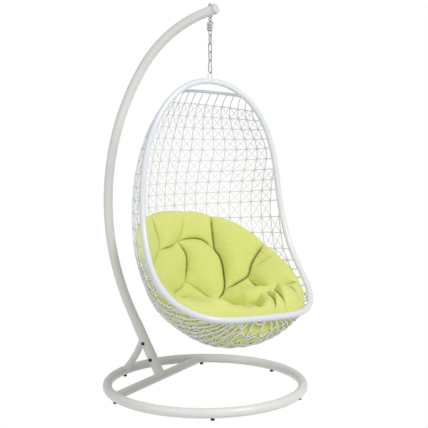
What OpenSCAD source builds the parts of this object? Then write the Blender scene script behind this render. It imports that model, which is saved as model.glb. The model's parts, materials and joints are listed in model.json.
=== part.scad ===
// Hanging egg chair on a curved mast with a round base ring.
// Units are millimetres.  The origin lies on the floor under the middle of the
// whole chair, +Z is up, the front is -Y and the mast stands at +Y.

/* [Base] */
// Radius of the base ring, to the middle of its tube
ring_radius = 520; // [480:1:560]
// Outside diameter of the ring and mast tubes
tube_d = 50; // [44:0.5:54]
// Wall of the ring and mast tubes
tube_wall = 2; // [1.5:0.1:3]
// Height of the black feet under the ring
foot_h = 10; // [6:0.5:16]
// Diameter of a foot
foot_d = 20; // [14:1:30]
// Outside diameter of the cross member
cross_d = 44; // [38:1:50]
// How far the cross member lies behind the middle of the ring
cross_back = 280; // [240:1:320]

/* [Mast] */
// Lean of the mast's foot from upright, backwards
mast_lean = 28.5; // [24:0.5:32]
// Length of the straight foot of the mast, from the cross member's middle
mast_straight = 390; // [360:1:420]
// Bend radius of the lower half, which brings the mast upright
bend_low_r = 1224; // [1150:1:1300]
// Bend radius above it, where the mast starts to lean forwards
bend_mid_r = 1300; // [1200:1:1400]
// Angle of the middle bend
bend_mid_a = 34.5; // [31:0.5:38]
// Bend radius of the top
bend_top_r = 720; // [680:1:760]
// Angle of the top bend
bend_top_a = 39.5; // [36:0.5:42]
// Length of mast that stands in front of the hanging axis
tip_past_hook = 21.5; // [21:0.5:40]
// Length of the socket that holds the mast
socket_len = 330; // [300:1:345]
// Wall of the socket
socket_wall = 2.5; // [2:0.1:4]
// Length of mast that stands clear of the cross member inside the socket
mast_seat = 60; // [40:1:70]
// Height of the lower bolt along the socket
bolt_low = 102; // [90:1:130]
// Height of the upper bolt along the socket
bolt_high = 200; // [180:1:230]
// Diameter of the two mast bolts
bolt_d = 8; // [6:0.5:10]
// Diameter of the bolt caps
bolt_cap_d = 18; // [17:0.5:22]
// Outside diameter of the rear brace
brace_d = 37; // [32:1:42]
// Wall of the cross member and of the brace
brace_wall = 2; // [1.5:0.1:2.5]
// Bend radius of the rear brace
brace_r = 540; // [500:1:600]
// Slope of the brace where it stands on the ring, from upright
brace_foot_a = 45; // [42:0.5:48]
// Thickness of the end cap's head
end_cap_h = 22; // [14:1:34]
// Lip of the end cap over the mast tube
end_cap_lip = 1; // [0.5:0.1:2]

/* [Hanger] */
// How far in front of the ring's middle the basket hangs
hook_reach = 31; // [24:1:40]
// Diameter of the eye bolt's shank
eye_shank_d = 8; // [6:0.5:10]
// Radius of the eye, to the middle of its rod
eye_r = 8; // [7.5:0.1:9]
// Diameter of the eye's rod
eye_rod_d = 6; // [5:0.5:6.5]
// Free room left where two hanging pieces touch
hang_gap = 0.3; // [0.2:0.05:0.5]
// Rod diameter of the two drawbars
drawbar_d = 5; // [4:0.5:5.5]
// Radius of a drawbar's bow, to the middle of its rod
drawbar_r = 7.5; // [7:0.1:8]
// Drop from the eye to the top of the spring
spring_drop = 11.5; // [11:0.5:20]
// Outside diameter of the spring
spring_d = 34; // [33:0.5:40]
// Wire diameter of the spring
spring_wire = 5; // [4:0.1:5]
// Length of the spring with the empty basket on it
spring_len = 39; // [38:0.5:46]
// Turns of the spring
spring_turns = 5; // [4:0.5:5]
// Drop from the spring to the first chain link
drawbar_drop = 23; // [20:0.5:30]
// Rod diameter of a chain link
link_rod_d = 6; // [5:0.5:6]
// Inside length of a chain link
link_pitch = 42.5; // [38:0.5:50]
// Radius of a link's bow, to the middle of its rod
link_r = 9; // [9:0.1:10]
// Length of the carabiner between what it joins
carabiner_pitch = 61; // [56:0.5:70]
// Rod diameter of the carabiner
carabiner_rod_d = 6; // [5:0.5:6.5]
// Radius of the carabiner's narrow top bow
carabiner_top_r = 8.5; // [8.5:0.1:9.5]
// Radius of its wide bottom bow
carabiner_low_r = 12; // [11.5:0.1:14]
// Rod diameter of the eye on the basket
basket_eye_rod_d = 7; // [6:0.5:7]
// Radius of the basket's eye, to the middle of its rod
basket_eye_r = 11.5; // [11:0.1:13]
// Inside height of the basket's eye above the rim tube
basket_eye_h = 29; // [24:0.5:36]

/* [Basket] */
// Turn of the basket's front from the stand's front, towards -X
heading = 26.3; // [15:0.1:40]
// Sideways lean of the hanging basket, with its +X side low
roll = 3; // [0:0.5:4]
// Outside diameter of the rim tube
rim_d = 30; // [26:0.5:32]
// Wall of the rim tube and of the back rail
rim_wall = 1.5; // [1:0.1:2]
// Mean radius of the rim's outline
rim_mean = 529.8; // [515:0.1:545]
// First harmonic of the outline, which sets its height
rim_tall = 160.8; // [150:0.1:172]
// Second harmonic of the outline
rim_square = 84.3; // [78:0.1:90]
// Third harmonic, which narrows the top
rim_egg = 78.9; // [73:0.1:85]
// Fourth harmonic
rim_fourth = 1.9; // [-2:0.1:6]
// Fifth harmonic
rim_fifth = 5.4; // [2:0.1:9]
// Sixth harmonic
rim_sixth = 3.9; // [1:0.1:7]
// Seventh harmonic
rim_seventh = -3.7; // [-6:0.1:-1]
// Forward lean of the rim's plane
rim_lean = 15.8; // [15:0.1:16.6]
// Backward bow of the rim, per square metre of its length
rim_bow = 0.584; // [0.57:0.002:0.6]
// Forward sweep of the rim's lip, per cubic metre of its length
rim_sweep = 0.576; // [0.565:0.001:0.587]
// Outside diameter of the rail that closes the back at the top
rail_d = 17; // [14:0.5:20]
// Drop of the rail's ends below the top of the rim
rail_drop = 70; // [62:1:80]
// How far the rail lies behind the top of the rim
rail_back = 100; // [90:1:110]
// Rise of the rail's middle over its ends
rail_rise = 18; // [10:1:24]
// Thickness of the woven shell
weave_t = 4.5; // [4:0.1:6]

/* [Cushion] */
// Thickness of the cushion at its back and sides
pad_t = 90; // [75:1:100]
// Extra thickness over the seat
pad_seat_t = 70; // [50:1:80]
// Room between the cushion and the woven shell
pad_gap = 4; // [3:0.1:8]
// Depth of a sewn tuft
tuft_depth = 42; // [20:1:50]

/* [Hidden] */
$fn = 64;

ring_z = foot_h + tube_d/2;
socket_d = tube_d + 2*socket_wall;
fit = 0.2;

// Angles of the feet round the ring, from the front towards +X
foot_angles = [-122.4, -56.4, 9.2, 73.1, 122, 179];

// ---------------------------------------------------------------- mast line
// A point of the mast's middle line is [y, z].  A heading is the angle of the
// line from upright, forwards.
function bend_step(r, h0, h1) = [-r*(cos(h0) - cos(h1)), r*(sin(h1) - sin(h0))];
tip_a = bend_mid_a + bend_top_a;
mast_foot_end = [cross_back, ring_z] + mast_straight*[sin(mast_lean), cos(mast_lean)];
mast_upright = mast_foot_end + bend_step(bend_low_r, -mast_lean, 0);
mast_shoulder = mast_upright + bend_step(bend_mid_r, 0, bend_mid_a);
mast_tip = mast_shoulder + bend_step(bend_top_r, bend_mid_a, tip_a);
tip_len = (mast_tip[0] + hook_reach)/sin(tip_a) + tip_past_hook;
// Height of the mast's middle line where the basket hangs
hook_mid_z = mast_tip[1] + (mast_tip[0] + hook_reach)/tan(tip_a);
hook_under_z = hook_mid_z - tube_d/2/sin(tip_a);
hook_top_z = hook_mid_z + tube_d/2/sin(tip_a);

// ------------------------------------------------------- heights down the chain
saddle_t = 4;
eye_flange_h = 3;
flange_z = hook_under_z - saddle_t;
eye_z = flange_z - eye_flange_h - eye_r - eye_rod_d/2;
// Each seat is the height where one hanging piece bears on the next
seat_eye = eye_z - eye_r + eye_rod_d/2;
spring_top = seat_eye - spring_drop;
spring_bottom = spring_top - spring_len;
seat_chain = spring_bottom - drawbar_drop;
seat_link_2 = seat_chain - link_pitch;
seat_link_3 = seat_link_2 - link_pitch;
seat_carabiner = seat_link_3 - link_pitch;
seat_basket = seat_carabiner - carabiner_pitch;
rim_top_z = seat_basket + hang_gap/2 - basket_eye_h - rim_d/2;
// Turn of each link: the chain shares the basket's heading out over its joints
twist_step = heading/4;

// ------------------------------------------------------------------ rim line
// Basket frame: origin at the top of the rim's middle line, +X to the right
// of somebody who looks into the basket, -Y its front.  A basket point is kept
// as [x, forward, drop].
rim_harmonics = [
    rim_mean, rim_tall, rim_square, rim_egg, rim_fourth, rim_fifth, rim_sixth, rim_seventh
];
function harmonic_sum(a, i = 0) =
    i == len(rim_harmonics) ? 0 : rim_harmonics[i]*cos(i*a) + harmonic_sum(a, i + 1);
rim_top_r = harmonic_sum(0);
function rim_slope_length(a) = rim_top_r - harmonic_sum(a)*cos(a);
function rim_bow_at(s) = -rim_bow*s*s/1e3 + rim_sweep*s*s*s/1e6;
function rim_at(a) =
    let (s = rim_slope_length(a), q = rim_bow_at(s))
    [harmonic_sum(a)*sin(a),
     s*sin(rim_lean) + q*cos(rim_lean),
     s*cos(rim_lean) - q*sin(rim_lean)];
// Angle on the rim's outline that lies at a given drop, on its upper part
rim_by_drop = [for (a = [0:1:100]) [rim_at(a)[2], a]];
function rim_angle(drop) = lookup(drop, rim_by_drop);

// -------------------------------------------------------------- woven shell
// Middle profile of the shell, from the back rail under the seat to the lip,
// as [forward, drop] points with a smooth curve through them.
lip = rim_at(180);
profile_points = [
    [-rail_back, rail_drop - rail_rise], [-197, 190], [-269, 359], [-315, 597], [-287, 800],
    [-211, 975], [-68, 1184], [111, 1281], [301, 1323], [460, 1268], [lip[1], lip[2]]
];
profile_last = len(profile_points) - 1;
function knot(i) =
    i < 0 ? 2*profile_points[0] - profile_points[1] :
    i > profile_last ? profile_points[profile_last] + [-20, -90] : profile_points[i];
function curve_through(a, b, c, d, t) =
    (2*b + (c - a)*t + (2*a - 5*b + 4*c - d)*t*t + (3*b - a - 3*c + d)*t*t*t)/2;
function profile(v) =
    let (i = min(floor(v*profile_last), profile_last - 1), t = v*profile_last - i)
    curve_through(knot(i - 1), knot(i), knot(i + 1), knot(i + 2), t);
// Rows are level down to this drop and fan out to the lip below it
fan_drop = 880;
fan_v = [for (v = [0:0.002:1]) if (profile(v)[1] >= fan_drop) v][0];
rise_reach = 250;
function row_rise(drop) =
    rail_rise*max(0, min(1, 1 - (drop - rail_drop + rail_rise)/rise_reach));
function fan_share(v) = max(0, (v - fan_v)/(1 - fan_v));
function row_angle(v) =
    v < fan_v ? rim_angle(min(fan_drop, profile(v)[1] + row_rise(profile(v)[1])))
              : rim_angle(fan_drop) + (180 - rim_angle(fan_drop))*fan_share(v);
// A row's outline is a mix of a circular arc and a half ellipse
round_top = 0.35;
round_lip = -2.4;
function row_mix(v) = let (u = fan_share(v)) round_top + (round_lip - round_top)*u*u*(3 - 2*u);
// Point of the shell: v runs from the back rail (0) to the lip (1), t from the
// rim's -X side (-1) to its +X side (1).
function shell_at(v, t) =
    let (rim = rim_at(row_angle(v)), mid = profile(v), half_w = max(rim[0], 0.01),
         reach = mid - [rim[1], rim[2]], deep = max(norm(reach), 0.01), along = reach/deep,
         radius = (half_w*half_w + deep*deep)/(2*deep), half_a = 2*atan2(deep, half_w),
         mix = row_mix(v), a = half_a*t,
         x = (1 - mix)*radius*sin(a) + mix*half_w*sin(90*t),
         d = (1 - mix)*radius*(cos(a) - cos(half_a)) + mix*deep*cos(90*t))
    [x, rim[1] + along[0]*d, rim[2] + along[1]*d];
function to_xyz(p) = [p[0], -p[1], -p[2]];
// Everything inside the basket is measured towards this point over the seat
seat_focus = [0, 180, 850];
function toward_seat(p, d) = let (q = seat_focus - p) p + q*d/norm(q);

// ------------------------------------------------------------------- origin
// The shapes are drawn about the middle of the base ring.  These are the
// chair's outermost places, and the origin lies half-way between them.
function to_stand(p) =
    let (x = p[0]*cos(roll) + p[2]*sin(roll))
    [x*cos(heading) + p[1]*sin(heading), p[1]*cos(heading) - x*sin(heading) - hook_reach];
rim_in_plan = [for (a = [0:2:358]) to_stand(to_xyz(rim_at(a)))];
ring_edge = ring_radius + tube_d/2;
low_x = min(-ring_edge, min([for (p = rim_in_plan) p[0]]) - rim_d/2);
high_x = max(ring_edge, max([for (p = rim_in_plan) p[0]]) + rim_d/2);
low_y = min(-ring_edge, min([for (p = rim_in_plan) p[1]]) - rim_d/2);
high_y = max(ring_edge, mast_upright[0] + tube_d/2);
module placed() {
    translate([-(low_x + high_x)/2, -(low_y + high_y)/2, 0]) children();
}

// ------------------------------------------------------------ general shapes
module tube_2d(d, wall) {
    difference() {
        circle(d = d);
        circle(d = d - 2*wall);
    }
}

// Straight piece of tube along +Z
module tube_run(d, wall, len) {
    linear_extrude(len) tube_2d(d, wall);
}

// Bent piece of tube that starts along +Z and turns towards -Y
module tube_bend(d, wall, r, a) {
    translate([0, -r, 0])
        rotate([90, 0, 90])
            rotate_extrude(angle = a, $fn = 96)
                translate([r, 0]) tube_2d(d, wall);
}

// Seam between two stretches of a bent tube, a hair proud of both
seam_len = 4;
seam_gap_a = 0.03;
module tube_seam(d, wall) {
    translate([0, 0, -seam_len/2]) tube_run(d + 0.02, wall + 0.02, seam_len);
}

// Puts children at the end of such a bend
module after_bend(r, a) {
    translate([0, -r*(1 - cos(a)), r*sin(a)]) rotate([a, 0, 0]) children();
}

// Half-ring of rod in the XZ plane with its ends down, middle at the origin
module bow(r, rod_d, a = 180) {
    rotate([90, 0, 0])
        rotate([0, 0, 90 - a/2])
            rotate_extrude(angle = a)
                translate([r, 0]) circle(d = rod_d);
}

// Rod from one XZ point to another
module rod_xz(p, q, rod_d) {
    v = q - p;
    translate([p[0], 0, p[1]])
        rotate([0, atan2(v[0], v[1]), 0])
            cylinder(d = rod_d, h = norm(v));
}

// Base ring as a solid body, for cutting what stands on it
module ring_solid() {
    translate([0, 0, ring_z])
        rotate_extrude($fn = 128) translate([ring_radius, 0]) circle(d = tube_d);
}

module at_socket() {
    translate([0, cross_back, ring_z]) rotate([-mast_lean, 0, 0]) children();
}

module at_hook() {
    translate([0, -hook_reach, 0]) children();
}

module at_basket() {
    at_hook() translate([0, 0, rim_top_z]) rotate([0, 0, -heading]) rotate([0, roll, 0]) children();
}

// ---------------------------------------------------------------------- base
module base_ring() {
    color("whitesmoke") placed()
        translate([0, 0, ring_z])
            rotate_extrude($fn = 128) translate([ring_radius, 0]) tube_2d(tube_d, tube_wall);
}

module cross_member() {
    half = sqrt(ring_radius*ring_radius - cross_back*cross_back);
    color("whitesmoke") placed()
        difference() {
            translate([-half, cross_back, ring_z])
                rotate([0, 90, 0]) tube_run(cross_d, brace_wall, 2*half);
            ring_solid();
        }
}

module ring_feet() {
    color("#202022") placed()
        for (a = foot_angles)
            difference() {
                translate([ring_radius*sin(a), -ring_radius*cos(a), 0])
                    cylinder(d = foot_d, h = ring_z - tube_d/4);
                ring_solid();
            }
}

module mast_socket() {
    color("whitesmoke") placed()
        difference() {
            at_socket() difference() {
                cylinder(d = socket_d, h = socket_len);
                translate([0, 0, -1]) cylinder(d = tube_d + fit, h = socket_len + 2);
                bolt_holes();
            }
            translate([-socket_d, cross_back, ring_z])
                rotate([0, 90, 0]) cylinder(d = cross_d, h = 2*socket_d);
        }
}

module bolt_holes() {
    for (h = [bolt_low, bolt_high])
        translate([-socket_d, 0, h])
            rotate([0, 90, 0]) cylinder(d = bolt_d + fit, h = 2*socket_d);
}

// The brace bends on until its middle line meets the socket's
brace_reach = (ring_radius - cross_back)*cos(mast_lean);
brace_top_a = acos(brace_reach/brace_r + cos(brace_foot_a + mast_lean)) - mast_lean;
module rear_brace() {
    color("whitesmoke") placed()
        difference() {
            translate([0, ring_radius, ring_z])
                rotate([brace_foot_a, 0, 0])
                    mirror([0, 1, 0])
                        tube_bend(brace_d, brace_wall, brace_r, brace_foot_a - brace_top_a);
            ring_solid();
            at_socket() cylinder(d = socket_d, h = socket_len);
        }
}

// ---------------------------------------------------------------------- mast
module mast() {
    color("whitesmoke") placed()
        difference() {
            at_socket() {
                translate([0, 0, mast_seat])
                    tube_run(tube_d, tube_wall, mast_straight - mast_seat);
                translate([0, 0, mast_straight]) {
                    tube_bend(tube_d, tube_wall, bend_low_r, mast_lean - seam_gap_a);
                    after_bend(bend_low_r, mast_lean) {
                        tube_seam(tube_d, tube_wall);
                        tube_bend(tube_d, tube_wall, bend_mid_r, bend_mid_a - seam_gap_a);
                        after_bend(bend_mid_r, bend_mid_a) {
                            tube_seam(tube_d, tube_wall);
                            tube_bend(tube_d, tube_wall, bend_top_r, bend_top_a - seam_gap_a);
                            after_bend(bend_top_r, bend_top_a) {
                                tube_seam(tube_d, tube_wall);
                                tube_run(tube_d, tube_wall, tip_len);
                            }
                        }
                    }
                }
            }
            at_socket() bolt_holes();
            at_hook() translate([0, 0, hook_under_z - tube_d])
                cylinder(d = eye_shank_d + fit, h = 3*tube_d);
        }
}

module at_tip() {
    translate([0, mast_tip[0], mast_tip[1]]) rotate([tip_a, 0, 0]) translate([0, 0, tip_len]) children();
}

module mast_end_cap() {
    plug_l = 9;
    round_r = 9;
    cap_r = tube_d/2 + end_cap_lip;
    color("gainsboro") placed()
        at_tip() {
            translate([0, 0, -plug_l]) cylinder(d = tube_d - 2*tube_wall - fit, h = plug_l + 1);
            rotate_extrude() {
                square([cap_r - round_r, end_cap_h]);
                square([cap_r, end_cap_h - round_r]);
                translate([cap_r - round_r, end_cap_h - round_r]) circle(r = round_r);
            }
        }
}

// A bolt lies across the socket, with its head on the -X side
bolt_head_d = 13;
bolt_head_h = 5;
cap_wall = 1.6;
module across_socket(h) {
    at_socket() translate([0, 0, h]) rotate([0, 90, 0]) children();
}

module mast_bolts() {
    color("dimgray") placed()
        difference() {
            for (h = [bolt_low, bolt_high])
                across_socket(h) {
                    translate([0, 0, -socket_d/2 - bolt_head_h])
                        cylinder(d = bolt_d, h = socket_d + 2*bolt_head_h);
                    translate([0, 0, -socket_d/2 - bolt_head_h])
                        cylinder(d = bolt_head_d, h = bolt_head_h);
                }
        }
}

module mast_bolt_nuts() {
    color("dimgray") placed()
        for (h = [bolt_low, bolt_high])
            across_socket(h) translate([0, 0, socket_d/2]) difference() {
                cylinder(d = bolt_head_d*2/sqrt(3), h = bolt_head_h, $fn = 6);
                translate([0, 0, -1]) cylinder(d = bolt_d, h = bolt_head_h + 2);
            }
}

module bolt_cap() {
    inner_d = bolt_head_d*2/sqrt(3) + fit;
    top = bolt_head_h + fit;
    difference() {
        union() {
            cylinder(d = bolt_cap_d, h = top);
            translate([0, 0, top]) cylinder(d1 = bolt_cap_d, d2 = bolt_cap_d - 6, h = cap_wall);
        }
        translate([0, 0, -1]) cylinder(d = inner_d, h = top + 1);
    }
}

module bolt_caps() {
    color("#18181a") placed()
        for (h = [bolt_low, bolt_high])
            for (side = [0, 180])
                across_socket(h) rotate([side, 0, 0]) translate([0, 0, socket_d/2]) bolt_cap();
}

// -------------------------------------------------------------------- hanger
nut_z = hook_top_z + 3.6;
nut_h = 4.5;
washer_d = 22;
module mast_tip_solid() {
    at_tip() translate([0, 0, -3*tube_d]) cylinder(d = tube_d, h = 3*tube_d);
}

module eye_bolt() {
    color("silver") placed()
        at_hook() {
            translate([0, 0, eye_z + eye_r])
                cylinder(d = eye_shank_d, h = nut_z + nut_h - eye_z - eye_r);
            translate([0, 0, flange_z - eye_flange_h]) cylinder(d = 15, h = eye_flange_h);
            translate([0, 0, eye_z])
                rotate([0, 90, 0])
                    rotate_extrude() translate([eye_r, 0]) circle(d = eye_rod_d);
        }
}

module saddle_washers() {
    drop = washer_d/2/tan(tip_a) + 3;
    color("gainsboro") placed()
        difference() {
            at_hook() {
                translate([0, 0, flange_z]) cylinder(d = washer_d, h = saddle_t + drop);
                translate([0, 0, hook_top_z - drop]) cylinder(d = washer_d, h = nut_z - hook_top_z + drop);
            }
            mast_tip_solid();
            at_hook() translate([0, 0, flange_z - 1])
                cylinder(d = eye_shank_d + fit, h = nut_z - flange_z + 2);
        }
}

module dome_nut() {
    across = 12.5;
    color("silver") placed()
        at_hook() translate([0, 0, nut_z]) difference() {
            union() {
                cylinder(d = across*2/sqrt(3), h = nut_h, $fn = 6);
                intersection() {
                    translate([0, 0, nut_h]) sphere(d = across);
                    translate([0, 0, nut_h]) cylinder(d = 2*across, h = across);
                }
            }
            translate([0, 0, -1]) cylinder(d = eye_shank_d, h = nut_h + 1);
        }
}

// A drawbar hangs from its bow at the origin's height, passes through the
// spring and bears on its far end with two outward feet.
module drawbar(len) {
    foot_reach = spring_d/2;
    bow_z = -drawbar_r;
    translate([0, 0, bow_z]) bow(drawbar_r, drawbar_d);
    for (side = [-1, 1]) {
        rod_xz([side*drawbar_r, bow_z], [side*drawbar_r, -len], drawbar_d);
        translate([side*drawbar_r, 0, -len]) sphere(d = drawbar_d);
        rod_xz([side*drawbar_r, -len], [side*foot_reach, -len], drawbar_d);
    }
}

module upper_drawbar() {
    top = seat_eye + hang_gap/2 + drawbar_d/2;
    foot = spring_bottom - drawbar_d/2 - hang_gap;
    color("lightgray") placed() at_hook() translate([0, 0, top]) drawbar(top - foot);
}

module lower_drawbar() {
    bottom = seat_chain - hang_gap/2 - drawbar_d/2;
    foot = spring_top + drawbar_d/2 + hang_gap;
    color("lightgray") placed()
        at_hook() translate([0, 0, bottom]) rotate([180, 0, 90]) drawbar(foot - bottom);
}

// Spring: one unbroken tube of wire, flat at each end
curl_rings = 12;
wire_sides = 8;
coil_r = (spring_d - spring_wire)/2;
coil_rise = spring_len - spring_wire;
// The first and last quarter turns lie flat on the drawbars' feet
coil_pitch = coil_rise/(spring_turns - 0.5);
function coil_z(n) = coil_pitch*max(0, min(spring_turns - 0.5, n - 0.25));
function coil_at(n) = [coil_r*cos(360*n), coil_r*sin(360*n), coil_z(n)];
coil_count = curl_rings*spring_turns;
// Least free gap between neighbouring turns, measured on points one turn apart
coil_gap = min([for (i = [0:coil_count - curl_rings])
    coil_z((i + curl_rings)/curl_rings) - coil_z(i/curl_rings)]) - spring_wire;
echo(least_gap_between_turns = coil_gap);

module spring() {
    points = [for (i = [0:coil_count], j = [0:wire_sides - 1])
        let (a = 360*i/curl_rings, p = coil_at(i/curl_rings), b = 360*j/wire_sides)
        p + spring_wire/2*[cos(b)*cos(a), cos(b)*sin(a), sin(b)]];
    color("white") placed()
        at_hook() translate([0, 0, spring_bottom + spring_wire/2])
            polyhedron(points, tube_faces(coil_count + 1, wire_sides));
}

// Faces of a tube of rings, closed at both ends
function tube_faces(rings, sides) = concat(
    [for (i = [0:rings - 2], j = [0:sides - 1])
        let (k = (j + 1)%sides) each [
            [i*sides + j, (i + 1)*sides + k, (i + 1)*sides + j],
            [i*sides + j, i*sides + k, (i + 1)*sides + k]]],
    [for (j = [1:sides - 2]) [0, j + 1, j]],
    [for (j = [1:sides - 2]) let (e = (rings - 1)*sides) [e, e + j, e + j + 1]]);

module chain_link() {
    top = hang_gap/2 + link_rod_d/2 - link_r;
    low = -link_pitch - hang_gap/2 - link_rod_d/2 + link_r;
    translate([0, 0, top]) bow(link_r, link_rod_d);
    translate([0, 0, low]) mirror([0, 0, 1]) bow(link_r, link_rod_d);
    for (side = [-1, 1]) rod_xz([side*link_r, low], [side*link_r, top], link_rod_d);
}

module chain_link_1() {
    color("silver") placed() at_hook() translate([0, 0, seat_chain]) chain_link();
}

module chain_link_2() {
    color("silver") placed()
        at_hook() translate([0, 0, seat_link_2]) rotate([0, 0, 90 - twist_step]) chain_link();
}

module chain_link_3() {
    color("silver") placed()
        at_hook() translate([0, 0, seat_link_3]) rotate([0, 0, -2*twist_step]) chain_link();
}

// ----------------------------------------------------------------- carabiner
// Drawn in the XZ plane with its top seat at the origin
car_top_z = hang_gap/2 + carabiner_rod_d/2 - carabiner_top_r;
car_low_z = -carabiner_pitch - hang_gap/2 - carabiner_rod_d/2 + carabiner_low_r;
car_slope = asin((carabiner_low_r - carabiner_top_r)/(car_top_z - car_low_z));
car_side_top = [carabiner_top_r*cos(car_slope), car_top_z + carabiner_top_r*sin(car_slope)];
car_side_low = [carabiner_low_r*cos(car_slope), car_low_z + carabiner_low_r*sin(car_slope)];
car_side_len = norm(car_side_top - car_side_low);
function car_side(h) = car_side_low + (car_side_top - car_side_low)*h/car_side_len;
// The straight rods run a little way into the bows, a hair thicker than them
car_lap = 0.5;
car_straight_d = carabiner_rod_d + 0.1;
gate_low = 6;
gate_pin_h = car_side_len - 10;
gate_pin_d = 2.4;
tongue_t = 2.2;
tongue_w = carabiner_rod_d - 1.2;

module at_carabiner() {
    at_hook() translate([0, 0, seat_carabiner]) rotate([0, 0, 90 - 3*twist_step]) children();
}

module at_gate_side(h) {
    p = car_side(h);
    translate([p[0], 0, p[1]]) rotate([0, -car_slope, 0]) children();
}

module carabiner() {
    color("silver") placed()
        at_carabiner() difference() {
            union() {
                translate([0, 0, car_top_z]) bow(carabiner_top_r, carabiner_rod_d, 180 - 2*car_slope);
                translate([0, 0, car_low_z])
                    mirror([0, 0, 1]) bow(carabiner_low_r, carabiner_rod_d, 180 + 2*car_slope);
                mirror([1, 0, 0])
                    rod_xz(car_side(-car_lap), car_side(car_side_len + car_lap), car_straight_d);
                rod_xz(car_side(-car_lap), car_side(gate_low - hang_gap), car_straight_d);
                rod_xz(car_side(gate_pin_h + carabiner_rod_d/2 + hang_gap),
                       car_side(car_side_len + car_lap), car_straight_d);
                at_gate_side(gate_pin_h)
                    translate([-tongue_w/2, -tongue_t/2, -2])
                        cube([tongue_w, tongue_t, carabiner_rod_d/2 + 4]);
            }
            at_gate_side(gate_pin_h)
                rotate([90, 0, 0]) cylinder(d = gate_pin_d, h = 20, center = true);
        }
}

module carabiner_gate() {
    slot_t = tongue_t + 0.6;
    color("lightgray") placed()
        at_carabiner() difference() {
            union() {
                rod_xz(car_side(gate_low), car_side(gate_pin_h), carabiner_rod_d);
                at_gate_side(gate_pin_h) sphere(d = carabiner_rod_d);
            }
            at_gate_side(gate_pin_h)
                translate([-carabiner_rod_d, -slot_t/2, -4.4])
                    cube([2*carabiner_rod_d, slot_t, 10]);
            at_gate_side(gate_pin_h)
                rotate([90, 0, 0]) cylinder(d = gate_pin_d + 0.1, h = 20, center = true);
        }
}

module gate_pin() {
    color("gray") placed()
        at_carabiner() at_gate_side(gate_pin_h)
            rotate([90, 0, 0]) cylinder(d = gate_pin_d, h = carabiner_rod_d - 1, center = true);
}

// -------------------------------------------------------------------- basket
module basket_eye() {
    leg_top = seat_basket + hang_gap/2 + basket_eye_rod_d/2 - basket_eye_r - rim_top_z;
    leg_low = rim_d/2 - rim_wall;
    color("white") placed()
        at_hook() translate([0, 0, rim_top_z]) rotate([0, 0, -heading]) {
            translate([0, 0, leg_top]) bow(basket_eye_r, basket_eye_rod_d);
            for (side = [-1, 1])
                rod_xz([side*basket_eye_r, leg_low], [side*basket_eye_r, leg_top], basket_eye_rod_d);
        }
}

// The rim is one bent tube whose ends meet at the top under the eye, with
// rings closer together where it bends more.
rim_rings = 88;
rim_sides = 12;
rim_joint_a = 0.03;
function spread(t) = 360*t - 0.35*180/PI*sin(360*t);
function rim_ring_a(i) = rim_joint_a + (360 - 2*rim_joint_a)*spread(i/rim_rings)/360;
function rim_xyz(a) = to_xyz(rim_at(a));
function unit(v) = v/norm(v);
function ring_points(a, r, sides) =
    let (p = rim_xyz(a), t = unit(rim_xyz(a + 0.05) - rim_xyz(a - 0.05)),
         u = unit(cross(t, [0, -1, 0])), w = cross(t, u))
    [for (j = [0:sides - 1]) p + r*(u*cos(360*j/sides) + w*sin(360*j/sides))];

module rim_tube() {
    outer = [for (i = [0:rim_rings]) each ring_points(rim_ring_a(i), rim_d/2, rim_sides)];
    inner = [for (i = [0:rim_rings])
        each ring_points(rim_ring_a(i), rim_d/2 - rim_wall, rim_sides)];
    n = len(outer);
    last = rim_rings*rim_sides;
    faces = concat(
        [for (i = [0:rim_rings - 1], j = [0:rim_sides - 1])
            let (k = (j + 1)%rim_sides, a = i*rim_sides, b = a + rim_sides) each [
                [a + j, b + j, b + k], [a + j, b + k, a + k],
                [n + a + j, n + b + k, n + b + j], [n + a + j, n + a + k, n + b + k]]],
        [for (j = [0:rim_sides - 1])
            let (k = (j + 1)%rim_sides) each [
                [j, k, n + k], [j, n + k, n + j],
                [last + j, n + last + k, last + k], [last + j, n + last + j, n + last + k]]]);
    color("white") placed() at_basket() polyhedron(concat(outer, inner), faces);
}

// The rail is a circular arc from one side of the rim to the other
rail_end = rim_at(rim_angle(rail_drop));
rail_mid = profile_points[0];
rail_reach = [rail_end[1], rail_end[2]] - rail_mid;
rail_depth = norm(rail_reach);
rail_r = (rail_end[0]*rail_end[0] + rail_depth*rail_depth)/(2*rail_depth);
rail_half_a = 2*atan2(rail_depth, rail_end[0]);
module rail_sweep(d, wall) {
    translate([0, -rail_mid[0], -rail_mid[1]])
        rotate([atan2(rail_reach[1], rail_reach[0]), 0, 0])
            translate([0, -rail_r, 0])
                rotate([0, 0, 90 - rail_half_a])
                    rotate_extrude(angle = 2*rail_half_a, $fn = 96)
                        translate([rail_r, 0]) tube_2d(d, wall);
}

module back_rail() {
    color("white") placed() at_basket() rail_sweep(rail_d, rim_wall);
}

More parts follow.
